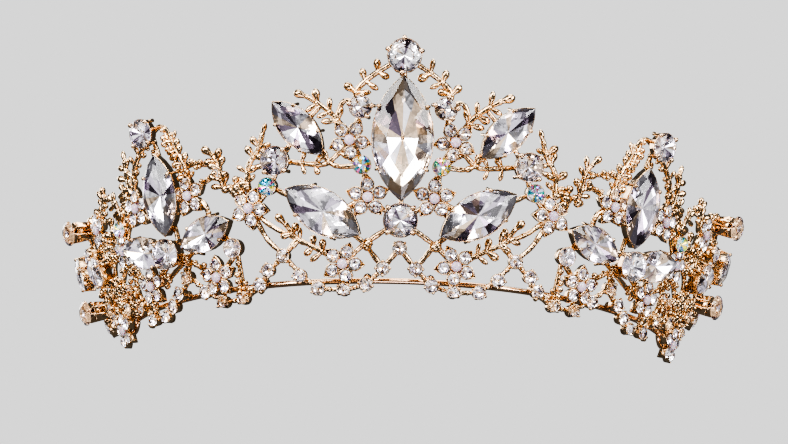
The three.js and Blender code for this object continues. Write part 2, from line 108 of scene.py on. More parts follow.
class Nodes:
    """A material's node tree, with short ways to add and join nodes."""

    def __init__(self, name: str) -> None:
        """Starts an empty node material.

        Args:
            name: the material's name.
        """
        self.material = bpy.data.materials.new(name)
        self.material.use_nodes = True
        self.tree = self.material.node_tree
        self.tree.nodes.clear()
        self.output = self.tree.nodes.new("ShaderNodeOutputMaterial")

    def add(self, kind: str, values: dict | None = None, **settings: object) -> bpy.types.Node:
        """Adds a node.

        Args:
            kind: the node's type without its ShaderNode prefix.
            values: what to set on its input sockets, by name.
            settings: what to set on the node itself.

        Returns:
            The new node.
        """
        node = self.tree.nodes.new("ShaderNode" + kind)
        for key, value in settings.items():
            setattr(node, key, value)
        for key, value in (values or {}).items():
            node.inputs[key].default_value = value
        return node

    def link(self, source: bpy.types.NodeSocket, target: bpy.types.NodeSocket) -> None:
        """Joins an output socket to an input socket."""
        self.tree.links.new(source, target)

    def object_place(self) -> bpy.types.NodeSocket:
        """The Object coordinates."""
        return self.add("TexCoord").outputs["Object"]

    def noise(self, scale: float, detail: float = 2.0) -> bpy.types.NodeSocket:
        """A noise over the object.

        Args:
            scale: blotches to the metre.
            detail: how many finer layers it has.

        Returns:
            The noise's value socket.
        """
        node = self.add("TexNoise", {"Scale": scale, "Detail": detail})
        self.link(self.object_place(), node.inputs["Vector"])
        return node.outputs["Fac"]

    def ramp(self, value: bpy.types.NodeSocket, stops: Sequence[tuple[float, Sequence[float]]],
             stepped: bool = False) -> bpy.types.NodeSocket:
        """Turns a value into a colour.

        Args:
            value: the socket to read.
            stops: the ramp's (place, colour) pairs.
            stepped: whether the colours change abruptly.

        Returns:
            The colour socket.
        """
        node = self.add("ValToRGB")
        ramp = node.color_ramp
        ramp.interpolation = "CONSTANT" if stepped else "LINEAR"
        while len(ramp.elements) < len(stops):
            ramp.elements.new(1.0)
        for element, (place, colour) in zip(ramp.elements, stops):
            element.position = place
            element.color = (*colour, 1.0)
        self.link(value, node.inputs["Fac"])
        return node.outputs["Color"]

    def span(self, value: bpy.types.NodeSocket, low: float, high: float) -> bpy.types.NodeSocket:
        """Maps a value from 0 to 1 onto a range.

        Args:
            value: the socket to read.
            low: what 0 becomes.
            high: what 1 becomes.

        Returns:
            The mapped value's socket.
        """
        node = self.add("MapRange", {"To Min": low, "To Max": high})
        self.link(value, node.inputs["Value"])
        return node.outputs["Result"]

    def bump(
        self, height: bpy.types.NodeSocket, distance: float, strength: float = 1.0
    ) -> bpy.types.NodeSocket:
        """A bump.

        Args:
            height: the height's socket.
            distance: how deep it goes, in metres.
            strength: how much of it shows.

        Returns:
            The normal's socket.
        """
        node = self.add("Bump", {"Distance": distance, "Strength": strength})
        self.link(height, node.inputs["Height"])
        return node.outputs["Normal"]

    def finish(self, shader: bpy.types.Node) -> bpy.types.Material:
        """Joins the shader to the output and returns the material."""
        self.link(shader.outputs[0], self.output.inputs["Surface"])
        return self.material


@dataclass(frozen=True)
class Gold:
    """Polished rose-gold plate: slightly uneven in colour and gloss, with a fine cast or drawn skin."""

    name: str
    bright: tuple[float, float, float]
    deep: tuple[float, float, float]
    glossy: float
    dull: float
    grain: float
    depth: float

    def material(self) -> bpy.types.Material:
        """The finish as a material."""
        nodes = Nodes(self.name)
        shader = nodes.add("BsdfPrincipled", {"Metallic": 1.0})
        tone = nodes.noise(260.0, 3.0)
        nodes.link(nodes.ramp(tone, [(0.36, self.deep), (0.62, self.bright)]), shader.inputs["Base Color"])
        nodes.link(nodes.span(nodes.noise(900.0), self.glossy, self.dull), shader.inputs["Roughness"])
        nodes.link(nodes.bump(nodes.noise(self.grain, 3.0), self.depth), shader.inputs["Normal"])
        return nodes.finish(shader)


@dataclass(frozen=True)
class ClearGlass:
    """The glass of a cut stone: clear, with a faint tint and a trace of handling on its facets."""

    name: str
    tint: tuple[float, float, float]

    def material(self) -> bpy.types.Material:
        """The finish as a material."""
        nodes = Nodes(self.name)
        shader = nodes.add("BsdfPrincipled", {
            "Base Color": (*self.tint, 1.0), "IOR": 1.56, "Transmission Weight": 1.0,
        })
        nodes.link(nodes.span(nodes.noise(420.0), 0.0, 0.02), shader.inputs["Roughness"])
        return nodes.finish(shader)


@dataclass(frozen=True)
class Foil:
    """The mirror behind a stone, whose facets each take a painted tone, bright or dark, that stands for a
    reflection, and which glows faintly with painted light.
    """

    name: str
    tones: tuple[tuple[float, tuple[float, float, float]], ...]
    roughness: float = 0.04
    glow: float = 0.07  # painted glow: the foil gives off a little light in its facet's tone, standing for light trapped in the stone, so that no facet shows black

    def material(self) -> bpy.types.Material:
        """The finish as a material."""
        nodes = Nodes(self.name)
        shader = nodes.add("BsdfPrincipled", {
            "Metallic": 1.0, "Roughness": self.roughness, "Emission Strength": self.glow,
        })
        facet = nodes.add("Attribute", attribute_name=FACET)
        # Each facet draws a painted reflection tone at random.
        tone = nodes.ramp(facet.outputs["Fac"], self.tones, stepped=True)
        # The facet's tone is the mirror's colour and also its painted glow.
        for socket in ("Base Color", "Emission Color"):
            nodes.link(tone, shader.inputs[socket])
        nodes.link(nodes.bump(nodes.noise(700.0, 1.0), 0.00002), shader.inputs["Normal"])
        return nodes.finish(shader)


@dataclass(frozen=True)
class Opal:
    """A small milky stone with a pinkish glow."""

    name: str = "milky_opal"

    def material(self) -> bpy.types.Material:
        """The finish as a material."""
        nodes = Nodes(self.name)
        shader = nodes.add("BsdfPrincipled", {
            "Roughness": 0.28, "Coat Weight": 0.5, "Coat Roughness": 0.08, "Subsurface Weight": 0.35,
            "Subsurface Scale": 0.001,
        })
        milk = nodes.ramp(nodes.noise(500.0), [(0.3, (0.40, 0.32, 0.39)), (0.7, (0.54, 0.45, 0.51))])
        nodes.link(milk, shader.inputs["Base Color"])
        return nodes.finish(shader)


@dataclass(frozen=True)
class PaleFloor:
    """A pale matt floor that shows from above only."""

    name: str = "pale_floor"
    colour: tuple[float, float, float] = (0.80, 0.79, 0.78)

    def material(self) -> bpy.types.Material:
        """The finish as a material."""
        nodes = Nodes(self.name)
        matt = nodes.add("BsdfDiffuse", {"Color": (*self.colour, 1.0)})
        clear = nodes.add("BsdfTransparent")
        mix = nodes.add("MixShader")
        nodes.link(nodes.add("NewGeometry").outputs["Backfacing"], mix.inputs["Fac"])
        nodes.link(matt.outputs[0], mix.inputs[1])
        nodes.link(clear.outputs[0], mix.inputs[2])
        return nodes.finish(mix)


FACET = "facet"  # attribute: a random number for each facet of a stone

# Crystal foil tones, partly painted reflection: the foil is a real mirror, but each facet's tone, from bright
# silver to the dark one, stands for a soft box or the dark room mirrored in it.
SILVER = (0.93, 0.92, 0.95)
LILAC = (0.60, 0.56, 0.64)
CHAMPAGNE = (0.80, 0.64, 0.48)
PAINTED_DARK_FACET = (0.16, 0.13, 0.17)

CAST_GOLD = Gold("rose_gold_casting", (0.92, 0.67, 0.42), (0.64, 0.40, 0.21), 0.08, 0.26, 1500.0, 0.00012)
WIRE_GOLD = Gold("rose_gold_wire", (0.86, 0.58, 0.38), (0.74, 0.46, 0.28), 0.12, 0.22, 2600.0, 0.00002)
CUP_GOLD = Gold("rose_gold_cup", (0.94, 0.68, 0.44), (0.72, 0.45, 0.25), 0.06, 0.20, 900.0, 0.00008)
CRYSTAL_GLASS = ClearGlass("crystal_glass", (0.97, 0.955, 0.975))
AURORA_GLASS = ClearGlass("aurora_glass", (0.98, 0.96, 1.0))
CRYSTAL_FOIL = Foil("crystal_foil", ((0.0, SILVER), (0.50, LILAC), (0.72, CHAMPAGNE), (0.88, PAINTED_DARK_FACET)))
AURORA_FOIL = Foil("aurora_foil", (
    (0.0, (0.10, 0.62, 0.78)), (0.17, (0.80, 0.86, 0.98)), (0.36, (0.92, 0.25, 0.62)),
    (0.52, (0.95, 0.78, 0.12)), (0.66, (0.45, 0.42, 0.95)), (0.80, (0.35, 0.85, 0.60)),
    (0.90, (0.96, 0.90, 0.96)),
))


class Palette:
    """Every finish as a material, made once."""

    def __init__(self) -> None:
        """Makes the materials."""
        self.casting = CAST_GOLD.material()
        self.wire = WIRE_GOLD.material()
        self.cup = CUP_GOLD.material()
        self.crystal = (CRYSTAL_GLASS.material(), CRYSTAL_FOIL.material())
        self.aurora = (AURORA_GLASS.material(), AURORA_FOIL.material())
        self.opal = Opal().material()


# ---- The cone and routes on it --------------------------------------------------------------


@dataclass(frozen=True)
class Cone:
    """The flared surface that the openwork is bent round, placed as the CAD model stands."""

    rim_radius: float = 62.5
    flare: float = math.radians(15)
    lean: float = math.radians(3)

    def bare(self, place: Place, proud: float = 0.0, turn: float = 0.0) -> Matrix:
        """The frame at a place, in millimetres from the middle of the cone's rim.

        Args:
            place: where on the pattern.
            proud: how far out of the surface.
            turn: degrees by which the frame faces back towards the front.

        Returns:
            A matrix whose x runs round the cone, y up the slant and z out of it.
        """
        around, height = place
        radius = self.rim_radius + height * math.sin(self.flare)
        angle = around / radius
        facing = angle - math.copysign(math.radians(turn), around)
        across = Vector((math.cos(facing), math.sin(facing), 0))
        level, drop = math.cos(self.flare), math.sin(self.flare)
        outward = Vector((math.sin(facing) * level, -math.cos(facing) * level, -drop))
        up = outward.cross(across)
        foot = Vector((radius * math.sin(angle), -radius * math.cos(angle), height * level))
        centre = foot + outward * proud
        turned = Matrix((across, up, outward)).transposed().to_4x4()
        return Matrix.Translation(centre) @ turned

    def standing(self) -> Matrix:
        """From millimetres about the cone to metres in the row frame, found from the CAD's base round."""
        turned = Matrix.Rotation(self.lean, 4, "X") @ Matrix.Scale(MM, 4)
        there = turned @ self.bare(BASE_ROUND.at, BASE_ROUND.girdle_height).translation
        low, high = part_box(BASE_ROUND.name)
        return Matrix.Translation((low + high) / 2 - there) @ turned

    def spot(self, place: Place, proud: float = 0.0, turn: float = 0.0) -> Matrix:
        """bare, in the row frame, so that a shape in millimetres lands in metres."""
        return STANDING @ self.bare(place, proud, turn)


# The end panels are soldered on askew: the far end is raised on the right and lowered on the left.
END_RISE = 2.4
RISE_START, RISE_END = 80.0, 97.0


def on_side(place: Place, side: int) -> Place:
    """A place of the pattern on one side.

    Args:
        place: the place in the pattern.
        side: -1 or 1.

    Returns:
        The place, raised or lowered where the end panels are askew.
    """
    around, height = place
    share = min(1.0, max(0.0, (around - RISE_START) / (RISE_END - RISE_START)))
    return (side * around, height + side * END_RISE * share)


def smooth_route(points: Sequence[Vector], spacing: float) -> list[Vector]:
    """A smooth line through points, as close points.

    Args:
        points: what the line goes through.
        spacing: the rough distance from one result to the next.

    Returns:
        The line's points.
    """
    ends = [2 * points[0] - points[1], *points, 2 * points[-1] - points[-2]]
    line = [points[0]]
    for before, start, stop, after in zip(ends, ends[1:], ends[2:], ends[3:]):
        count = max(2, round((stop - start).length / spacing) + 1)
        leaving, arriving = start + (stop - before) / 6, stop - (after - start) / 6
        line += interpolate_bezier(start, leaving, arriving, stop, count)[1:]
    return line


# ---- Mesh making ----------------------------------------------------------------------------


def mesh_from(work: bmesh.types.BMesh, name: str = "shape") -> bpy.types.Mesh:
    """Turns a finished bmesh into a mesh and frees it.

    Args:
        work: the bmesh.
        name: the mesh's name.

    Returns:
        The mesh.
    """
    mesh = bpy.data.meshes.new(name)
    work.to_mesh(mesh)
    work.free()
    return mesh


def smoothed(work: bmesh.types.BMesh, smooth: bool = True) -> None:
    """Points every face outwards and shades it smooth or flat."""
    bmesh.ops.recalc_face_normals(work, faces=work.faces)
    for face in work.faces:
        face.smooth = smooth


class Heap:
    """A piece that is stamped together from shapes."""

    def __init__(self, name: str, materials: Sequence[bpy.types.Material], slot: Slot) -> None:
        """Starts an empty piece.

        Args:
            name: the piece's name.
            materials: its material slots in order.
            slot: the record's slot that its finish stands for; it is not used.
        """
        self.name, self.materials, self.slot = name, materials, slot
        self.work = bmesh.new()

    def stamp(self, shape: bpy.types.Mesh, place: Matrix) -> None:
        """Adds a copy of a shape at a place."""
        copy = shape.copy()
        copy.transform(place)
        self.work.from_mesh(copy)
        bpy.data.meshes.remove(copy)

    def take(self, shape: bpy.types.Mesh) -> None:
        """Adds a shape that is already in place, and drops it."""
        self.work.from_mesh(shape)
        bpy.data.meshes.remove(shape)

    def finish(self, *replaced: str) -> bpy.types.Object:
        """Makes the piece's object, which rides with the tiara.

        Args:
            replaced: the CAD nodes that it stands for.

        Returns:
            The object.
        """
        for vert in self.work.verts:
            vert.co.z = max(0.0, vert.co.z)  # the lowest cups are filed flat
        piece = bpy.data.objects.new(self.name, mesh_from(self.work, self.name))
        for material in self.materials:
            piece.data.materials.append(material)
        bpy.context.scene.collection.objects.link(piece)
        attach(piece, BODY)
        if replaced:
            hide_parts(*replaced)
        LOG.info("%s: %d faces", self.name, len(piece.data.polygons))
        return piece


def swept(line: Sequence[Vector], radii: Sequence[float], sides: int = 8) -> bpy.types.Mesh:
    """A closed round stem along a line.

    Args:
        line: its centre's points, in metres.
        radii: its radius at each, in metres.
        sides: how many sides it has.

    Returns:
        The stem's mesh.
    """
    work = bmesh.new()
    heading = (line[1] - line[0]).normalized()
    turn = UP.rotation_difference(heading)
    place = Matrix.Translation(line[0]) @ turn.to_matrix().to_4x4() @ Matrix.Scale(radii[0], 4)
    bmesh.ops.create_circle(work, segments=sides, radius=1.0, matrix=place)
    edges = work.edges[:]
    for i in range(1, len(line)):
        ahead = (line[min(i + 1, len(line) - 1)] - line[i - 1]).normalized()
        turn = heading.rotation_difference(ahead) @ turn
        heading = ahead
        after = Matrix.Translation(line[i]) @ turn.to_matrix().to_4x4() @ Matrix.Scale(radii[i], 4)
        grown = bmesh.ops.extrude_edge_only(work, edges=edges)["geom"]
        verts = [item for item in grown if isinstance(item, bmesh.types.BMVert)]
        bmesh.ops.transform(work, matrix=after @ place.inverted(), verts=verts)
        edges = [item for item in grown if isinstance(item, bmesh.types.BMEdge)]
        place = after
    bmesh.ops.holes_fill(work, edges=work.edges)
    smoothed(work)
    return mesh_from(work)


def turned_shape(profile: Sequence[tuple[float, float]], sides: int) -> bpy.types.Mesh:
    """A turned shape about Z.

    Args:
        profile: its (radius, height) stops from the bottom up, the first and last on the axis.
        sides: how many sides it has.

    Returns:
        The shape's mesh.
    """
    work = bmesh.new()
    verts = [work.verts.new((radius, 0, height)) for radius, height in profile]
    edges = [work.edges.new(pair) for pair in zip(verts, verts[1:])]
    bmesh.ops.spin(
        work, geom=verts + edges, cent=(0, 0, 0), axis=UP, angle=2 * math.pi, steps=sides, use_merge=True
    )
    bmesh.ops.remove_doubles(work, verts=work.verts, dist=1e-5)
    smoothed(work)
    return mesh_from(work)


def ball(radius: float, sides: int = 8) -> bpy.types.Mesh:
    """A small ball, in millimetres."""
    work = bmesh.new()
    bmesh.ops.create_uvsphere(work, u_segments=sides, v_segments=max(4, sides - 2), radius=radius)
    smoothed(work)
    return mesh_from(work)


def nugget(seed: int) -> bpy.types.Mesh:
    """A rough pebble of cast gold, 1 mm in radius.

    Args:
        seed: which pebble.

    Returns:
        The pebble's mesh.
    """
    draw = random.Random(seed)
    work = bmesh.new()
    bmesh.ops.create_icosphere(work, subdivisions=2, radius=1.0)
    for vert in work.verts:
        vert.co *= draw.uniform(0.78, 1.12)
    bmesh.ops.smooth_vert(
        work, verts=work.verts, factor=0.25, use_axis_x=True, use_axis_y=True, use_axis_z=True
    )
    smoothed(work)
    return mesh_from(work)


def dish(outline: Sequence[Place], height: float, wall: float, foot: float) -> bpy.types.Mesh:
    """A shallow dish with an upright rim, standing on z = 0.

    Args:
        outline: its outside, in order.
        height: how high its rim is.
        wall: its rim's thickness.
        foot: the size of its bottom against its rim.

    Returns:
        The dish's mesh.
    """
    work = bmesh.new()
    face = work.faces.new([work.verts.new((x * foot, y * foot, 0)) for x, y in outline])
    raised = bmesh.ops.extrude_face_region(work, geom=[face])["geom"]
    top = [item for item in raised if isinstance(item, bmesh.types.BMFace)]
    verts = [item for item in raised if isinstance(item, bmesh.types.BMVert)]
    bmesh.ops.translate(work, vec=(0, 0, height), verts=verts)
    bmesh.ops.scale(work, vec=(1 / foot, 1 / foot, 1), verts=verts)
    bmesh.ops.inset_region(work, faces=top, thickness=wall, depth=0)
    sunk = bmesh.ops.extrude_face_region(work, geom=top)["geom"]
    bmesh.ops.delete(work, geom=top, context="FACES_ONLY")
    verts = [item for item in sunk if isinstance(item, bmesh.types.BMVert)]
    bmesh.ops.translate(work, vec=(0, 0, -0.85 * height), verts=verts)
    lip = [edge for edge in work.edges if all(vert.co.z > 0.99 * height for vert in edge.verts)]
    bmesh.ops.bevel(work, geom=lip, offset=0.35 * wall, segments=2, affect="EDGES", profile=0.5, material=-1)
    smoothed(work)
    return mesh_from(work)


# ---- Stones ---------------------------------------------------------------------------------


class Cut(Enum):
    """How a stone is cut."""

    MARQUISE = "marquise"
    ROUND = "round"


class Mount(Enum):
    """What holds a stone."""

    BEZEL = "bezel"
    CUP = "cup"
    BASKET = "basket"


def round_outline(width: float, points: int, skew: float = 0.0) -> list[Place]:
    """A circle's points.

    Args:
        width: its diameter.
        points: how many.
        skew: how far it is turned, in steps from one point to the next.

    Returns:
        The points in order.
    """
    turns = [2 * math.pi * (i + skew) / points for i in range(points)]
    return [(width / 2 * math.cos(turn), width / 2 * math.sin(turn)) for turn in turns]


def marquise_outline(width: float, length: float, per_side: int, skew: float = 0.0) -> list[Place]:
    """A marquise's points, its length along y.

    Args:
        width: across its middle.
        length: from tip to tip.
        per_side: how many steps each of its two arcs has.
        skew: how far along its step each point is moved.

    Returns:
        The points in order, from the lower tip.
    """
    arc = (length**2 + width**2) / (4 * width)
    sweep = math.asin(length / 2 / arc)
    points = []
    for side in (1, -1):
        for i in range(per_side):
            turn = side * sweep * (2 * (i + skew) / per_side - 1)
            points.append((side * (arc * math.cos(turn) - arc + width / 2), arc * math.sin(turn)))
    return points


GIRDLE = 0.12  # half the thickness of a stone's edge


def faceted(rings: Iterable[tuple[float, Sequence[Place]]], seed: int) -> bpy.types.Mesh:
    """A cut stone: the hull of rings of points, with flat facets and a foiled back.

    Args:
        rings: each ring's height above the girdle and its points.
        seed: which tones its facets draw.

    Returns:
        The stone's mesh, with the glass as material 0 and the foil as material 1.
    """
    draw = random.Random(seed)
    work = bmesh.new()
    for height, points in rings:
        for x, y in points:
            work.verts.new((x, y, height))
    hull = bmesh.ops.convex_hull(work, input=work.verts, use_existing_faces=False)
    spare = [item for item in hull["geom_interior"] if isinstance(item, bmesh.types.BMVert)]
    bmesh.ops.delete(work, geom=spare, context="VERTS")
    bmesh.ops.dissolve_limit(work, angle_limit=math.radians(0.6), verts=work.verts, edges=work.edges)
    smoothed(work, False)
    tone = work.faces.layers.float.new(FACET)
    for face in work.faces:
        face.material_index = int(face.calc_center_median().z < -GIRDLE)
        face[tone] = draw.random()
    return mesh_from(work)


@dataclass(frozen=True)
class Stone:
    """One cut stone and what holds it. The names are the CAD's, and the sizes are millimetres."""

    name: str
    at: Place
    size: tuple[float, float]
    depth: float
    tilt: float = 0.0
    turn: float = 0.0
    mount: Mount = Mount.BEZEL
    cup: float = 0.0
    lift: float = 0.0
    aurora: bool = False
    prongs: tuple[float, ...] = (45.0, 135.0, 225.0, 315.0)

    @property
    def cut(self) -> Cut:
        """Round where the stone is as wide as it is long."""
        return Cut.ROUND if self.size[0] == self.size[1] else Cut.MARQUISE

    @property
    def girdle_height(self) -> float:
        """How far the girdle's middle stands above the castings' middle surface."""
        return 0.9 + (self.cup + 0.3 if self.cup else self.lift) + self.depth + 0.15

    def sided(self, hand: str, side: int) -> "Stone":
        """The same stone on one hand.

        Args:
            hand: left or right.
            side: -1 or 1.

        Returns:
            The stone, named and placed.
        """
        values = {**self.__dict__, "name": f"{hand}_{self.name}", "at": on_side(self.at, side)}
        return Stone(**values)

    def frame(self) -> Matrix:
        """The frame at the middle of the stone's girdle, where its CAD node is, with y along its length."""
        tilt = -math.copysign(math.radians(self.tilt), self.at[0] or 1)
        turned = CONE.spot(self.at, self.girdle_height, self.turn)
        low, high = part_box(self.name)
        turned.translation = (low + high) / 2
        return turned @ Matrix.Rotation(tilt, 4, "Z")

    def rings(self) -> list[tuple[float, list[Place]]]:
        """The rings of points that its facets join, from the table to the point at its back."""
        width, length = self.size
        if self.cut is Cut.ROUND:
            crown, back, count = 0.16 * width, 0.28 * width, 8
            return [
                (crown, round_outline(0.52 * width, count)),
                (0.60 * crown, round_outline(0.80 * width, count, 0.5)),
                (GIRDLE, round_outline(width, 2 * count)),
                (-GIRDLE, round_outline(width, 2 * count)),
                (-back, [(0, 0)]),
            ]
        crown, back = 0.14 * width, (0.17 if width > 10 else 0.19) * width
        return [
            (crown, marquise_outline(0.50 * width, 0.60 * length, 4)),
            (0.55 * crown, marquise_outline(0.80 * width, 0.84 * length, 6, 0.5)),
            (GIRDLE, marquise_outline(width, length, 8)),
            (-GIRDLE, marquise_outline(width, length, 8)),
            (-GIRDLE - 0.12 * back, marquise_outline(0.90 * width, 0.90 * length, 4)),
            (-back, [(0, 0)]),
        ]

    def rings_for_chaton(self) -> list[tuple[float, list[Place]]]:
        """The rings of a small round crystal, with half as many facets and a thin girdle."""
        width = self.size[0]
        return [
            (0.20 * width, round_outline(0.55 * width, 6)),
            (0.03 * width, round_outline(width, 12)),
            (-0.03 * width, round_outline(width, 12)),
            (-0.22 * width, round_outline(0.5 * width, 6, 0.5)),
            (-0.34 * width, [(0, 0)]),
        ]

    def shape(self) -> bpy.types.Mesh:
        """The stone's mesh about the middle of its girdle."""
        return faceted(self.rings(), seed=sum(map(ord, self.name)))


BASE_ROUND = Stone("base_round", (0, 14.4), (7.4, 7.4), 1.4, mount=Mount.CUP, cup=1)
CENTRE_STONES = (
    BASE_ROUND,
    Stone("centre_marquise", (0, 31.6), (13.2, 26.4), 1.5),
    Stone("top_round", (0, 48.8), (7.4, 7.4), 1.4, mount=Mount.CUP, cup=1, prongs=(16, 92, 160, 262)),
)
CONE = Cone()
STANDING = CONE.standing()


# ---- Settings -------------------------------------------------------------------------------


def prong(height: float, r: float) -> bpy.types.Mesh:
    """A prong: a round post with a ball that laps the stone's edge.

    Args:
        height: from its foot to the middle of its ball.
        r: its radius.

    Returns:
        The prong's mesh.
    """
    profile = [
        (0, 0), (0.9 * r, 0), (0.75 * r, 0.5 * height), (0.72 * r, height - 0.5 * r),
        (1.1 * r, height - 0.1 * r), (1.15 * r, height + 0.4 * r), (0.7 * r, height + 1.0 * r),
        (0, height + 1.15 * r),
    ]
    return turned_shape(profile, 8)


def claw(width: float, height: float) -> bpy.types.Mesh:
    """A broad flat claw that bends in over the stone, its outside towards x.

    Args:
        width: across its face.
        height: from its foot to its tip.

    Returns:
        The claw's mesh.
    """
    work = bmesh.new()
    bmesh.ops.create_cube(work, size=1.0)
    bmesh.ops.scale(work, vec=(0.7, width, height), verts=work.verts)
    bmesh.ops.translate(work, vec=(0, 0, height / 2), verts=work.verts)
    slices = [edge for edge in work.edges if abs(edge.verts[0].co.z - edge.verts[1].co.z) > height / 2]
    bmesh.ops.subdivide_edges(work, edges=slices, cuts=3, use_grid_fill=True)
    for vert in work.verts:
        share = vert.co.z / height
        vert.co.x += 0.35 * share - (1.1 if share > 0.99 else 0.0)
        vert.co.y *= 0.8 + 0.3 * share
    bmesh.ops.bevel(work, geom=work.edges, offset=0.14, segments=2, affect="EDGES", profile=0.5, material=-1)
    smoothed(work)
    return mesh_from(work)


@dataclass
class Setting:
    """What holds one stone: a bezel tray with prongs, a claw cup or a tall basket."""

    stone: Stone
    rim: float = 0.05

    def edge_places(self) -> list[tuple[float, float, float]]:
        """Where prongs stand round the stone, as (x, y, heading)."""
        halves = (self.stone.size[0] / 2, self.stone.size[1] / 2)
        if self.stone.cut is Cut.ROUND:
            turns = [math.radians(turn) for turn in self.stone.prongs]
            return [(halves[0] * math.cos(t), halves[0] * math.sin(t), t) for t in turns]
        arc = (halves[0] ** 2 + halves[1] ** 2) / (2 * halves[0])
        places = []
        for side in (1, -1):
            for end in (1, -1):
                y = end * 0.50 * halves[1]
                x = side * (math.sqrt(arc**2 - y**2) - arc + halves[0])
                places.append((x, y, math.atan2(y, x + side * (arc - halves[0]))))
        return places

    def outline(self) -> list[Place]:
        """The tray's outside."""
        width, length = (size + 2 * self.rim for size in self.stone.size)
        if self.stone.cut is Cut.ROUND:
            return round_outline(width, 20)
        return marquise_outline(width, length + 0.3, 10)

    def add_prongs(self, heap: Heap, foot: float, reach: float, radius: float) -> None:
        """Stamps the prongs.

        Args:
            heap: the piece that they join.
            foot: their foot's height, about the girdle.
            reach: how far outside the stone's edge they stand.
            radius: of each.
        """
        shape = prong(0.35 - foot, radius)
        for x, y, heading in self.edge_places():
            lean = Matrix.Rotation(heading, 4, "Z") @ Matrix.Rotation(math.radians(-7), 4, "Y")
            out = Vector((math.cos(heading), math.sin(heading), 0)) * reach
            heap.stamp(shape, self.stone.frame() @ Matrix.Translation((x + out.x, y + out.y, foot)) @ lean)

    def add_to(self, heap: Heap) -> None:
        """Stamps the whole setting.

        Args:
            heap: the piece that it joins.
        """
        stone, frame = self.stone, self.stone.frame()
        if stone.mount is Mount.BEZEL:
            depth = min(stone.girdle_height + 0.3, 2.6)
            tray = dish(self.outline(), depth, 0.3, 0.84)
            heap.stamp(tray, frame @ Matrix.Translation((0, 0, -depth - 0.12)))
            if stone.size[0] > 5:
                self.add_prongs(heap, -depth, 0.20, 0.40)
            return
        drop = stone.girdle_height - 0.9
        if stone.mount is Mount.CUP:
            width = stone.size[0]
            deep = min(drop, CUP_DEPTH * width)
            cup = dish(self.outline(), deep, 0.35, 0.62)
            heap.stamp(cup, frame @ Matrix.Translation((0, 0, -deep - 0.12)))
            broad, waist = CUP_FOOT * width, CUP_WAIST * width
            foot = [(0, -drop - 0.2), (broad, -drop - 0.2), (waist, -deep), (0, -deep)]
            heap.stamp(turned_shape(foot, 12), frame)
            self.add_prongs(heap, -0.75 * drop, 0.26, 0.48)
            return
        width = stone.size[0]
        box = dish(round_outline(1.06 * width, 4, 0.5), drop - 1.0, 0.5, 0.62)
        heap.stamp(box, frame @ Matrix.Translation((0, 0, -drop - 0.4)))
        broad = claw(0.36 * width, drop - 0.1)
        for i in range(4):
            turn = Matrix.Rotation((i + 0.5) * math.pi / 2, 4, "Z")
            heap.stamp(broad, frame @ turn @ Matrix.Translation((0.30 * width, 0, 0.1 - drop)))


# ---- Openwork -------------------------------------------------------------------------------


@dataclass(frozen=True)
class Sprig:
    """A twig that carries buds in pairs."""

    path: tuple[Stop, ...]
    pairs: int
    spread: float
    start: float = 0.25
    bud: float = 3.2


FLOWER_REACH = 2.55  # from a flower's middle to the middle of each petal's crystal
PETAL_CRYSTAL = 2.45
RIM_CRYSTAL = 2.9
STEM = 0.55  # a stem's radius


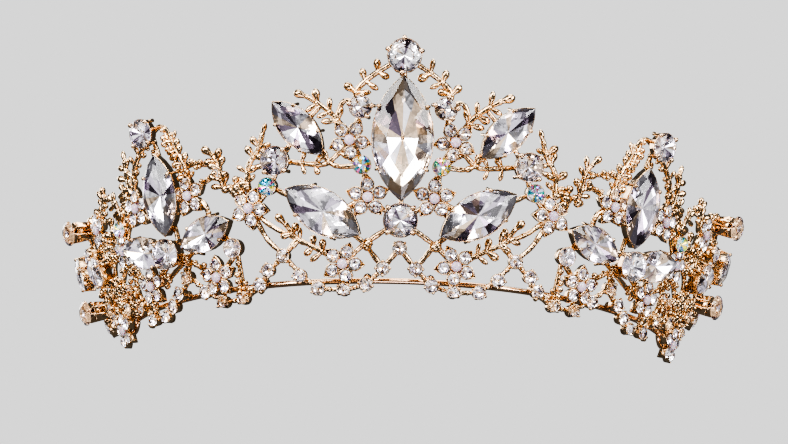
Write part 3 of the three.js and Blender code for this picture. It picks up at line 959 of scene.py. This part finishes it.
@dataclass
class Panel:
    """One casting of openwork: flowers, sprigs, bars and a scalloped rim of small cups."""

    node: str
    side: int
    stones: tuple[Stone, ...]
    flowers: dict[str, Place]
    rim: tuple[tuple[Place, ...], ...]
    sprigs: tuple[Sprig, ...]
    joints: dict[str, Place]
    bars: tuple[tuple[Stop, ...], ...]
    lugs: tuple[float, ...] = ()
    pebbles: float = 0.0
    leaf: tuple[Place, ...] = ()
    turns: dict[str, float] = field(default_factory=dict)
    draw: random.Random = field(default_factory=lambda: random.Random(7))

    def __post_init__(self) -> None:
        """Makes the shapes that are stamped again and again."""
        self.ball = ball(1.0)
        self.nuggets = [nugget(seed) for seed in range(4)]
        self.bud_shapes = (
            turned_shape([(0, 0), (0.52, 0.1), (0.50, 0.6), (0.64, 1.1), (0.88, 1.7), (0.92, 2.2),
                          (0.68, 2.8), (0, 3.2)], 9),
            turned_shape([(0, 0), (0.50, 0.1), (0.42, 0.7), (0.50, 1.2), (0.64, 1.75), (0.66, 2.3),
                          (0.46, 2.95), (0, 3.35)], 9),
        )
        petal = round_outline(PETAL_CRYSTAL + 0.7, 10)
        petal[0] = (petal[0][0] + 0.7, 0)
        self.petal = dish(petal, 1.6, 0.34, 0.9)
        self.rim_cup = dish(round_outline(RIM_CRYSTAL + 0.3, 12), 1.9, 0.24, 0.80)
        self.crystals = [
            faceted(Stone("chaton", (0, 0), (1, 1), 0).rings_for_chaton(), seed) for seed in range(5)
        ]
        opal = [(0, -0.4), (0.96, -0.4), (1.0, 0), (0.86, 0.34), (0.5, 0.56), (0, 0.64)]
        self.opal = turned_shape(opal, 14)

    def of(self, place: Place) -> Place:
        """A place of the pattern on this panel's side."""
        return on_side(place, self.side)

    def stop(self, key: Stop) -> Place:
        """A named stop's place, or a place as it is."""
        if not isinstance(key, str):
            return key
        named = {stone.name: stone.at for stone in (*self.stones, *CENTRE_STONES)}
        return {**named, **self.flowers, **self.joints}[key]

    def route(self, stops: Iterable[Stop], spacing: float = 0.8) -> list[Vector]:
        """The smooth line along some stops, as (around, height, 0)."""
        return smooth_route([Vector((*self.stop(key), 0)) for key in stops], spacing)

    def lay(self, flat: Sequence[Vector]) -> list[Vector]:
        """Bends a flat line round the cone."""
        return [CONE.spot(self.of((point.x, point.y)), point.z).translation for point in flat]

    def stem(self, heap: Heap, flat: Sequence[Vector], first: float, last: float) -> None:
        """Adds a stem that tapers and swells a little along a flat line.

        Args:
            heap: the piece that it joins.
            flat: the line.
            first: its radius at the start.
            last: its radius at the end.
        """
        count = len(flat)
        radii = [
            MM * (first + (last - first) * i / (count - 1)) * self.draw.uniform(0.88, 1.16)
            for i in range(count)
        ]
        heap.take(swept(self.lay(flat), radii))

    def add_sprig(self, stems: Heap, buds: Heap, sprig: Sprig) -> None:
        """Adds a twig with its paired buds and the one at its tip.

        Args:
            stems: the piece that the twig joins.
            buds: the piece that the buds join.
            sprig: the twig.
        """
        flat = self.route(sprig.path)
        self.stem(stems, flat, 0.66, 0.52)
        tip_is_free = not isinstance(sprig.path[-1], str)
        for i in range(sprig.pairs + tip_is_free):
            at_tip = i == sprig.pairs
            share = 0.97 if at_tip else sprig.start + (0.93 - sprig.start) * i / max(1, sprig.pairs - 0.4)
            index = min(len(flat) - 2, int(share * (len(flat) - 1)))
            along = (flat[index + 1] - flat[index]).normalized()
            for hand in (0,) if at_tip else (1, -1):
                fork = math.radians(hand * sprig.spread + self.draw.uniform(-9, 9))
                heading = math.atan2(along.y, along.x) + fork
                place = CONE.spot(self.of((flat[index].x, flat[index].y)), self.draw.uniform(-0.1, 0.25))
                turn = Matrix.Rotation(self.side * (heading - math.pi / 2), 4, "Z")
                rise = Matrix.Rotation(math.radians(self.draw.uniform(-72, -98)), 4, "X")
                scale = sprig.bud / 3.2 * self.draw.uniform(0.88, 1.1)
                shape = self.bud_shapes[self.draw.random() < 0.45]
                buds.stamp(shape, place @ turn @ rise @ Matrix.Scale(scale, 4))
                knot = Matrix.Scale(self.draw.uniform(0.55, 0.75), 4)
                buds.stamp(self.draw.choice(self.nuggets), place @ turn @ knot)

    def crystal(self, heap: Heap, frame: Matrix, width: float) -> None:
        """Stamps a small round crystal.

        Args:
            heap: the piece that it joins.
            frame: the frame at the middle of its girdle.
            width: its diameter.
        """
        turn = Matrix.Rotation(self.draw.uniform(0, math.pi), 4, "Z")
        heap.stamp(self.draw.choice(self.crystals), frame @ turn @ Matrix.Scale(width, 4))

    def add_flower(self, petals: Heap, crystals: Heap, opals: Heap, place: Place, turned: float) -> None:
        """Adds a flower: five crystals in pointed petals round a milky stone.

        Args:
            petals: the gold piece that it joins.
            crystals: the piece that its crystals join.
            opals: the piece that its milky stone joins.
            place: its middle.
            turned: degrees that it is turned, on the right.
        """
        lean = self.side * math.radians(turned) + self.draw.uniform(-0.1, 0.1)
        middle = CONE.spot(self.of(place)) @ Matrix.Rotation(lean, 4, "Z")
        raised = middle @ Matrix.Translation((0, 0, 0.2))
        petals.stamp(self.ball, raised @ Matrix.Diagonal((1.5, 1.5, 0.8, 1)))
        opals.stamp(self.opal, middle @ Matrix.Translation((0, 0, 1.25)) @ Matrix.Scale(1.12, 4))
        for i in range(5):
            turn = Matrix.Rotation(2 * math.pi * (i + 0.25) / 5, 4, "Z")
            petal = middle @ turn @ Matrix.Translation((FLOWER_REACH, 0, 0)) @ Matrix.Rotation(0.10, 4, "Y")
            petals.stamp(self.petal, petal @ Matrix.Translation((0, 0, -0.55)))
            self.crystal(crystals, petal @ Matrix.Translation((0, 0, 1.15)), PETAL_CRYSTAL)

    def add_rim(self, cups: Heap, crystals: Heap) -> None:
        """Adds the rim's cups, prongs and crystals, with a short bar from each to the next."""
        for run in self.rim:
            for start, stop in zip(run, run[1:]):
                flat = self.route((start, stop))
                self.stem(cups, flat, 0.5, 0.5)
                middle = flat[len(flat) // 2]
                knot = CONE.spot(self.of((middle.x, middle.y)), 0.35)
                cups.stamp(self.ball, knot @ Matrix.Scale(0.62, 4))
            for i, place in enumerate(run):
                if not place[0] and self.side < 0:
                    continue  # the cup on the centre line is there already
                before, after = run[max(0, i - 1)], run[min(len(run) - 1, i + 1)]
                lean = self.side * math.atan2(after[1] - before[1], after[0] - before[0])
                frame = CONE.spot(self.of(place)) @ Matrix.Rotation(lean + math.pi / 4, 4, "Z")
                cups.stamp(self.rim_cup, frame @ Matrix.Translation((0, 0, -0.6)))
                self.crystal(crystals, frame @ Matrix.Translation((0, 0, 1.3)), RIM_CRYSTAL)
                for quarter in range(4):
                    post = Matrix.Rotation(quarter * math.pi / 2, 4, "Z") @ Matrix.Translation((1.5, 0, 1.35))
                    cups.stamp(self.ball, frame @ post @ Matrix.Diagonal((0.34, 0.34, 0.5, 1)))

    def is_covered(self, place: Place) -> bool:
        """Whether a place of the pattern lies under a stone or a flower."""
        for stone in self.stones:
            tilt = math.radians(stone.tilt)
            x, y = place[0] - stone.at[0], place[1] - stone.at[1]
            across = (x * math.cos(tilt) - y * math.sin(tilt)) / (stone.size[0] / 2 + STONE_MARGIN)
            along = (x * math.sin(tilt) + y * math.cos(tilt)) / (stone.size[1] / 2 + STONE_MARGIN)
            if across**2 + along**2 < 1:
                return True
        return any(math.dist(place, middle) < FLOWER_CLEAR for middle in self.flowers.values())

    def add_pebbles(self, heap: Heap, flat: Sequence[Vector]) -> None:
        """Crusts a stem with small rough beads, as thickly as the panel has them."""
        for point in flat[:: max(1, round(1.6 / max(self.pebbles, 0.01)))]:
            across, up = (self.draw.uniform(-PEBBLE_SPREAD, PEBBLE_SPREAD) for _ in range(2))
            aside = (point.x + across, point.y + up)
            if self.is_covered(aside):
                continue
            frame = CONE.spot(self.of(aside), self.draw.uniform(0.2, 1.1))
            turn = Matrix.Rotation(self.draw.uniform(0, 6), 4, "X")
            shape = self.draw.choice(self.nuggets)
            heap.stamp(shape, frame @ turn @ Matrix.Scale(self.draw.uniform(0.5, 0.85), 4))

    def add_lug(self, heap: Heap, around: float) -> None:
        """Adds a lug from the rim back to the headband wire, with a dab of solder."""
        height = HEADBAND.height / math.cos(CONE.flare)
        depth = (HEADBAND.setback + height * math.sin(CONE.flare) - HEADBAND.wire) / math.cos(CONE.flare)
        ends = [CONE.spot((self.side * around, height), -depth * share).translation for share in (0, 0.5, 1)]
        heap.take(swept(ends, [0.75 * MM, 0.7 * MM, 0.95 * MM]))

    def build(self, palette: Palette) -> None:
        """Makes every piece of the panel.

        Args:
            palette: the finishes.
        """
        stems = Heap(f"{self.node}_openwork", [palette.casting], Slot.CASTING)
        buds = Heap(f"{self.node}_buds", [palette.casting], Slot.CASTING)
        petals = Heap(f"{self.node}_petals", [palette.casting], Slot.CASTING)
        cups = Heap(f"{self.node}_rim_cups", [palette.casting], Slot.CASTING)
        crystals = Heap(f"{self.node}_crystals", palette.crystal, Slot.CRYSTAL)
        opals = Heap(f"{self.node}_opals", [palette.opal], Slot.CRYSTAL)
        for hand in self.hands():
            self.side = hand
            for stops in self.bars:
                flat = self.route(stops)
                self.stem(stems, flat, STEM, STEM)
                if self.pebbles:
                    self.add_pebbles(stems, flat)
            for sprig in self.sprigs:
                self.add_sprig(stems, buds, sprig)
            for name, place in self.flowers.items():
                self.add_flower(petals, crystals, opals, place, self.turns.get(name, 0.0))
            for place in (*self.leaf, *[self.joints[name] for name in self.joints for _ in range(3)]):
                place = (place[0] + self.draw.uniform(-0.7, 0.7), place[1] + self.draw.uniform(-0.7, 0.7))
                frame = CONE.spot(self.of(place), self.draw.uniform(0.2, 0.7))
                shape = self.draw.choice(self.nuggets)
                stems.stamp(shape, frame @ Matrix.Scale(self.draw.uniform(0.9, 1.25), 4))
            for around in self.lugs:
                self.add_lug(stems, around)
            self.add_rim(cups, crystals)
        stems.finish(self.node)
        for heap in (buds, petals, cups, crystals, opals):
            heap.finish()

    def hands(self) -> tuple[int, ...]:
        """The sides that the panel has: both for the one in the middle."""
        return (self.side,) if self.side else (1, -1)


# ---- The pattern ----------------------------------------------------------------------------


CUP, BASKET = Mount.CUP, Mount.BASKET

CENTRE_SIDE_STONES = (
    Stone("crest_round", (8.6, 38), (5, 5), 1, mount=CUP, cup=1, prongs=(4, 80, 165, 305)),
    Stone("wing_round", (26.2, 27.5), (6.4, 6.4), 1.2, mount=CUP, cup=1),
    Stone("inner_aurora", (8.2, 25.9), (4, 4), 0.8, aurora=True),
    Stone("outer_aurora", (28.4, 22.3), (4, 4), 0.8, aurora=True),
    Stone("upper_marquise", (21.9, 34.1), (7.6, 15.6), 1.2, tilt=42),
    Stone("lower_marquise", (16, 16.3), (9.4, 18.6), 1.5, tilt=57),
)
SIDE_STONES = (
    Stone("peak_round", (60.8, 37.9), (6.4, 6.4), 1.2, mount=CUP, cup=1, turn=5),
    Stone("upright_marquise", (56.2, 24), (9.2, 17.6), 1.5, turn=7),
    Stone("inner_leaf_marquise", (43.3, 14), (7.4, 14), 1.2, tilt=106),
    Stone("outer_leaf_marquise", (62.9, 13.2), (7, 13.8), 1, tilt=75, turn=7),
    Stone("bud_round", (52.8, 11.3), (6.6, 6.6), 1.2, mount=CUP, cup=2.3, turn=10),
    Stone("seam_round", (36.3, 10.2), (4.2, 4.2), 0.9),
    Stone("side_aurora", (73.6, 20.2), (3.6, 3.6), 0.7, turn=15, aurora=True),
)
END_STONES = (
    Stone("end_peak_round", (101, 28.6), (5.6, 5.6), 1.1, turn=20, mount=BASKET, cup=3.3),
    Stone("end_outer_marquise", (104.2, 20.8), (7, 13.6), 1.2, tilt=58, lift=2),
    Stone("end_inner_marquise", (87, 15.4), (6.4, 11.6), 1.1, tilt=60, lift=1),
    Stone("end_small_round", (94.3, 21.4), (3.8, 3.8), 0.8, lift=1),
    Stone("end_base_round", (96.7, 10.6), (5.6, 5.6), 1.1, turn=20, mount=BASKET, cup=3.3),
)
ARCH_FOOT, ARCH_TOP = (3.4, 4.3), (0, 8.6)


def centre_panel() -> Panel:
    """The casting across the front."""
    return Panel(
        node="centre_panel", side=0, stones=CENTRE_SIDE_STONES,
        flowers={"high": (11, 31.2), "middle": (6.9, 19.2), "low": (11.8, 5.3), "outer": (33, 18.2)},
        rim=((ARCH_FOOT, (6.8, 0.9), (11.4, -0.3), (16.8, 0.2), (20.9, 3.1), (24.7, 7.5), (28.1, 4.7),
              (29.9, 1.8)),
             (ARCH_TOP,)),
        sprigs=(
            Sprig(("crest_round", (10, 41), (7.2, 44.2), "top_round"), 4, 64, 0.22, 3.1),
            Sprig(("high", (14.2, 35.8), (17.5, 38.6), (21.2, 40.9)), 3, 58, 0.36, 3.3),
            Sprig(("wing_round", (19.4, 26.4), (15.5, 26.6), "high"), 4, 68, 0.30, 2.7),
            Sprig(("low", (18.3, 9), (22, 10.9), (25, 14.6)), 4, 62, 0.30, 3.0),
            Sprig(("outer", (33.8, 26.3), (31.6, 30), (30.4, 33.8)), 4, 56, 0.30, 3.0),
            Sprig(("leaf", (39.8, 23.4), (41.2, 28.2), (43.4, 31)), 4, 58, 0.30, 3.0),
        ),
        joints={"strut": (7.3, 9.4), "leaf": (36.4, 22.4)},
        turns={"high": 27, "low": 27, "outer": 27},
        bars=(
            ("crest_round", "high"),
            ("crest_round", (12.4, 39.4), (14.2, 35.8)),
            ("high", "inner_aurora", "middle", "base_round"),
            ("inner_aurora", (13, 25.6), (15.5, 26.6)),
            ("upper_marquise", (17.5, 38.6)),
            ("upper_marquise", "wing_round", "outer_aurora", "outer", "leaf"),
            ("upper_marquise", (15.5, 26.6)),
            ("wing_round", (33.8, 26.3)),
            ("outer_aurora", "lower_marquise", "middle"),
            ("base_round", "strut", "low"),
            ("strut", "lower_marquise"),
            ("strut", ARCH_FOOT),
            ("low", (11.4, -0.3)),
            ((22, 10.9), (28, 14), "outer"),
            ((24.7, 7.5), (22, 10.9)),
            ((24.7, 7.5), (29, 11.5), "outer"),
            ("base_round", "centre_marquise"),
            ("centre_marquise", "top_round"),
            (ARCH_FOOT, ARCH_TOP),
        ),
        lugs=(6.8, 20.9, 29.9),
        leaf=((35, 21.6), (36.6, 22.6), (38, 23.4), (35.4, 23.4), (37, 24.4), (33.8, 22.4), (39.2, 22.4)),
        draw=random.Random(11),
    )


def side_panel(hand: str, side: int) -> Panel:
    """The casting with the second peak, on one hand."""
    return Panel(
        node=f"{hand}_side_panel", side=side, stones=SIDE_STONES,
        flowers={
            "high": (48.9, 22.8), "low": (40.8, 4.6), "foot": (61.6, 5.9), "outer": (66.3, 23.2),
            "edge": (73, 15.6),
        },
        rim=(((33.9, -0.7), (39, -0.9), (43.9, 1.9), (49.2, 5.7), (51.7, 2.6), (53.7, 0.3), (56.3, -1.5),
              (61.2, -1.2), (66.3, 2.2)),),
        sprigs=(
            Sprig(("high", (50.4, 29), (53, 33), (55, 37)), 6, 58, 0.24, 2.8),
            Sprig(("outer", (67.8, 29), (66.6, 33), "peak_round"), 5, 55, 0.26, 2.7),
            Sprig(("outer", (70.4, 28.5), (71.6, 34.5)), 4, 52, 0.30, 2.7),
            Sprig(("side_aurora", (75.4, 24), (79, 27.5)), 4, 58, 0.26, 2.7),
            Sprig(("side_aurora", (71.8, 24), (73, 28.5)), 4, 52, 0.30, 2.6),
        ),
        joints={"stalk": (50.2, 9.6)},
        bars=(
            ("peak_round", (57.4, 38.6), (54.2, 33), (51.6, 27.4), "high"),
            ("peak_round", "upright_marquise", "outer", "side_aurora", "edge"),
            ("upright_marquise", "bud_round", "outer_leaf_marquise", "edge"),
            ("high", "upright_marquise"),
            ("bud_round", "stalk", "inner_leaf_marquise", "seam_round", "low"),
            ("stalk", "low"),
            ("stalk", (49.2, 5.7)),
            ("high", (44.6, 20), "inner_leaf_marquise"),
            ("seam_round", (35, 4), (33.9, -0.7)),
            ("low", (39, -0.9)),
            ("outer_leaf_marquise", "foot", (61.2, -1.2)),
            ("bud_round", "foot"),
            ("foot", (66.3, 2.2)),
            ("high", (44.6, 25.2), (42.3, 25.8)),
            ((50.4, 29), (47.6, 29.2), (44.4, 28.6)),
            ((33.9, -0.7), (32, 0.4), (30.6, 1.2)),
            ("foot", (66.4, 8.6), (70, 10.6), "edge"),
            ("foot", (57.4, 6), "stalk"),
            ((66.3, 2.2), (69.4, 7.4), (70, 10.6)),
            ("edge", (70.8, 20.4), "outer"),
        ),
        lugs=(43.9, 51.7, 66.3),
        pebbles=1.6,
        draw=random.Random(23),
    )


def end_panel(hand: str, side: int) -> Panel:
    """The casting that ends the band, on one hand."""
    return Panel(
        node=f"{hand}_end_panel", side=side, stones=END_STONES,
        flowers={"foot": (77.3, -0.3), "high": (88.4, 24.6), "back": (107.4, 11.4)},
        rim=(((70.9, 6.6), (72.6, 3.3)), ((82, 3.2), (85.5, 6.6))),
        sprigs=(
            Sprig(("high", (93, 27.5), "end_peak_round"), 4, 60, 0.26, 2.7),
            Sprig(("high", (85.6, 27.4), (83.6, 30.4)), 4, 56, 0.28, 2.7),
            Sprig(("end_inner_marquise", (80.5, 17), (80.6, 22.6)), 5, 56, 0.40, 2.7),
            Sprig(("end_outer_marquise", (108.4, 24.4), (107, 30)), 4, 56, 0.40, 2.7),
        ),
        joints={"stalk": (77.6, 8.6)},
        bars=(
            ("end_peak_round", "end_outer_marquise", "end_small_round", "end_inner_marquise"),
            ("high", "end_small_round"),
            ("high", "end_inner_marquise", "stalk", "foot"),
            ("end_base_round", "end_small_round"),
            ("end_base_round", "back", "end_outer_marquise"),
            ("stalk", (70.9, 6.6)),
            ((72.6, 3.3), "foot", (82, 3.2)),
            ((85.5, 6.6), "end_base_round"),
            ("stalk", (75.4, 11.3), (72.4, 12.6)),
            ((80.5, 20), (77, 20)),
            ((70.9, 6.6), (68.2, 3.6)),
            ("foot", (80.6, 5.4), (84, 9.4), (90.4, 9.6), "end_base_round"),
            ("stalk", (81.6, 11.4), (80.4, 16)),
            ((73.4, 6.4), (76.6, 4.6), (81.6, 11.4)),
            ((85.5, 6.6), (84, 9.4), (88, 19.6), "high"),
            ("end_small_round", (97.6, 16), "end_base_round"),
            ((80.4, 16), (83.4, 20.4), "high"),
        ),
        lugs=(72.6,),
        pebbles=1.8,
        draw=random.Random(31),
    )


@dataclass(frozen=True)
class Headband:
    """The round wire behind the rim, with an eyelet at each end."""

    wire: float = 0.65
    setback: float = 2.0
    height: float = 2.2
    last_lug: float = 72.6
    tail: float = 3.8
    eyelet: float = 2.4

    def build(self, palette: Palette) -> None:
        """Makes the wire.

        Args:
            palette: the finishes.
        """
        heap = Heap("headband_band", [palette.wire], Slot.WIRE)
        radius = CONE.rim_radius - self.setback
        end = (self.last_lug + self.tail) / CONE.rim_radius
        steps = 120
        turns = [end * (2 * i / steps - 1) for i in range(steps + 1)]
        line = [STANDING @ Vector((radius * math.sin(t), -radius * math.cos(t), self.height)) for t in turns]
        heap.take(swept(line, [self.wire * MM] * len(line), 14))
        for side in (1, -1):
            angle = side * (end + self.eyelet / radius)
            centre = Vector((radius * math.sin(angle), -radius * math.cos(angle), self.height))
            along = Vector((math.cos(angle), math.sin(angle), 0))
            loop = [
                STANDING @ (centre + self.eyelet * (math.cos(t) * along + math.sin(t) * UP))
                for t in (2 * math.pi * i / 28 + (math.pi if side > 0 else 0) for i in range(28))
            ]
            heap.take(swept(loop, [self.wire * MM] * len(loop), 12))
        heap.finish("headband_wire")


HEADBAND = Headband()


def build_stones(stones: Iterable[Stone], palette: Palette, panel: str) -> None:
    """Makes each stone, the cups that the CAD has as pieces, and the bezels cast in a panel.

    Args:
        stones: the stones, named as their CAD nodes.
        palette: the finishes.
        panel: the panel whose bezels these are.
    """
    bezels = Heap(f"{panel}_bezels", [palette.casting], Slot.CASTING)
    for stone in stones:
        gem = Heap(f"{stone.name}_gem", palette.aurora if stone.aurora else palette.crystal,
                   Slot.AURORA if stone.aurora else Slot.CRYSTAL)
        gem.stamp(stone.shape(), stone.frame())
        gem.finish(stone.name)
        if stone.mount is Mount.BEZEL:
            Setting(stone).add_to(bezels)
            continue
        cup = Heap(f"{stone.name}_setting", [palette.cup], Slot.CUP)
        Setting(stone).add_to(cup)
        cup.finish(f"{stone.name}_cup")
    bezels.finish()


# ---- Studio ---------------------------------------------------------------------------------


@dataclass(frozen=True)
class Lamp:
    """A soft box that faces the tiara."""

    name: str
    place: tuple[float, float, float]
    size: tuple[float, float]
    power: float
    colour: tuple[float, float, float] = (1.0, 1.0, 1.0)

    def build(self) -> None:
        """Makes the lamp."""
        light = bpy.data.lights.new(self.name, "AREA")
        light.shape = "RECTANGLE"
        light.size, light.size_y = self.size
        light.energy, light.color = self.power, self.colour
        lamp = bpy.data.objects.new(self.name, light)
        lamp.location = self.place
        lamp.rotation_euler = (-Vector(self.place)).to_track_quat("-Z", "Y").to_euler()
        bpy.context.scene.collection.objects.link(lamp)


@dataclass(frozen=True)
class Studio:
    """The pale floor, the soft light and the camera."""

    lamps: tuple[Lamp, ...] = (
        Lamp("left_box", (-0.68, -0.58, 0.22), (0.40, 0.60), 8.0),
        Lamp("right_box", (0.70, -0.55, 0.20), (0.36, 0.60), 7.0),
        Lamp("high_box", (-0.10, -0.74, 0.52), (0.60, 0.30), 7.0),
        Lamp("top_box", (0.05, 0.10, 0.95), (0.80, 0.50), 6.0),
        Lamp("under_box", (0.05, -0.62, -0.72), (0.60, 0.30), 3.0, (0.94, 0.90, 1.0)),
        Lamp("back_box", (-0.60, 0.80, 0.50), (0.50, 0.50), 4.0),
    )
    backdrop: float = 0.90
    surround: float = 0.10
    patches: float = 2.2
    panels: float = 1.7
    target: tuple[float, float, float] = (-1.35, -62.5, 14.5)
    distance: float = 900.0
    elevation: float = math.radians(-15)
    azimuth: float = math.radians(0.21)
    roll: float = math.radians(1.56)
    lens: float = 195.7

    def build(self) -> None:
        """Makes the whole studio."""
        for lamp in self.lamps:
            lamp.build()
        self.floor()
        self.world()
        self.camera()

    def floor(self) -> None:
        """Lays the floor that the tiara stands on."""
        work = bmesh.new()
        below = Matrix.Translation((0, 0, -1e-4))
        bmesh.ops.create_grid(work, x_segments=1, y_segments=1, size=3.0, matrix=below)
        floor = bpy.data.objects.new("floor", mesh_from(work, "floor"))
        floor.data.materials.append(PaleFloor().material())
        bpy.context.scene.collection.objects.link(floor)
        floor.visible_glossy = floor.visible_transmission = floor.visible_shadow = False

    def world(self) -> None:
        """Makes a pale backdrop, a dimmer room for the gold, and mottled bright panels seen through glass."""
        world = bpy.data.worlds.new("studio")
        bpy.context.scene.world = world
        world.use_nodes = True
        tree = world.node_tree
        tree.nodes.clear()
        output = tree.nodes.new("ShaderNodeOutputWorld")
        seen, lit, sparkle = (tree.nodes.new("ShaderNodeBackground") for _ in range(3))
        seen.inputs["Color"].default_value = (self.backdrop, self.backdrop, self.backdrop, 1)
        lit.inputs["Color"].default_value = (self.surround, self.surround, self.surround, 1)
        patches = tree.nodes.new("ShaderNodeTexNoise")
        patches.inputs["Scale"].default_value = self.patches
        tree.links.new(tree.nodes.new("ShaderNodeTexCoord").outputs["Generated"], patches.inputs["Vector"])
        panels = tree.nodes.new("ShaderNodeMapRange")
        for key, value in zip(("From Min", "From Max", "To Min", "To Max"), (0.38, 0.56, 0.20, self.panels)):
            panels.inputs[key].default_value = value
        tree.links.new(patches.outputs["Fac"], panels.inputs["Value"])
        tree.links.new(panels.outputs["Result"], sparkle.inputs["Strength"])
        rays = tree.nodes.new("ShaderNodeLightPath")
        through, mix = (tree.nodes.new("ShaderNodeMixShader") for _ in range(2))
        tree.links.new(rays.outputs["Is Transmission Ray"], through.inputs["Fac"])
        tree.links.new(lit.outputs[0], through.inputs[1])
        tree.links.new(sparkle.outputs[0], through.inputs[2])
        tree.links.new(rays.outputs["Is Camera Ray"], mix.inputs["Fac"])
        tree.links.new(through.outputs[0], mix.inputs[1])
        tree.links.new(seen.outputs[0], mix.inputs[2])
        tree.links.new(mix.outputs[0], output.inputs["Surface"])

    def camera(self) -> None:
        """Sets the camera, which looks straight at the front's slope."""
        level, rise = math.cos(self.elevation), math.sin(self.elevation)
        back = Vector((math.sin(self.azimuth) * level, -math.cos(self.azimuth) * level, rise))
        right = (-back).cross(UP).normalized()
        up = right.cross(-back)
        turn, tip = math.cos(self.roll), math.sin(self.roll)
        right, up = right * turn + up * tip, up * turn - right * tip
        place = Matrix((right, up, back)).transposed().to_4x4()
        place.translation = Vector(self.target) + back * self.distance
        place = STANDING @ place
        lens = bpy.data.cameras.new("camera")
        lens.lens, lens.sensor_width = self.lens, 36.0
        lens.clip_start, lens.clip_end = 0.01, 20.0
        camera = bpy.data.objects.new("camera", lens)
        camera.location, camera.rotation_mode = place.translation, "QUATERNION"
        camera.rotation_quaternion = place.to_quaternion()
        bpy.context.scene.collection.objects.link(camera)
        bpy.context.scene.camera = camera


def main() -> None:
    """Builds the studio, the panels, the stones and the band."""
    logging.basicConfig(level=logging.INFO, format="%(name)s: %(message)s")
    Studio().build()
    bpy.context.scene.view_settings.view_transform = "AgX"
    bpy.context.scene.view_settings.look = "AgX - High Contrast"
    palette = Palette()
    panels = [centre_panel()]
    build_stones(CENTRE_STONES, palette, "centre_line")
    for hand, side in (("right", 1), ("left", -1)):
        panels += [side_panel(hand, side), end_panel(hand, side)]
        for part, stones in (("centre", CENTRE_SIDE_STONES), ("side", SIDE_STONES), ("end", END_STONES)):
            build_stones([stone.sided(hand, side) for stone in stones], palette, f"{hand}_{part}")
    for panel in panels:
        panel.build(palette)
    HEADBAND.build(palette)


if __name__ == "__main__":
    main()
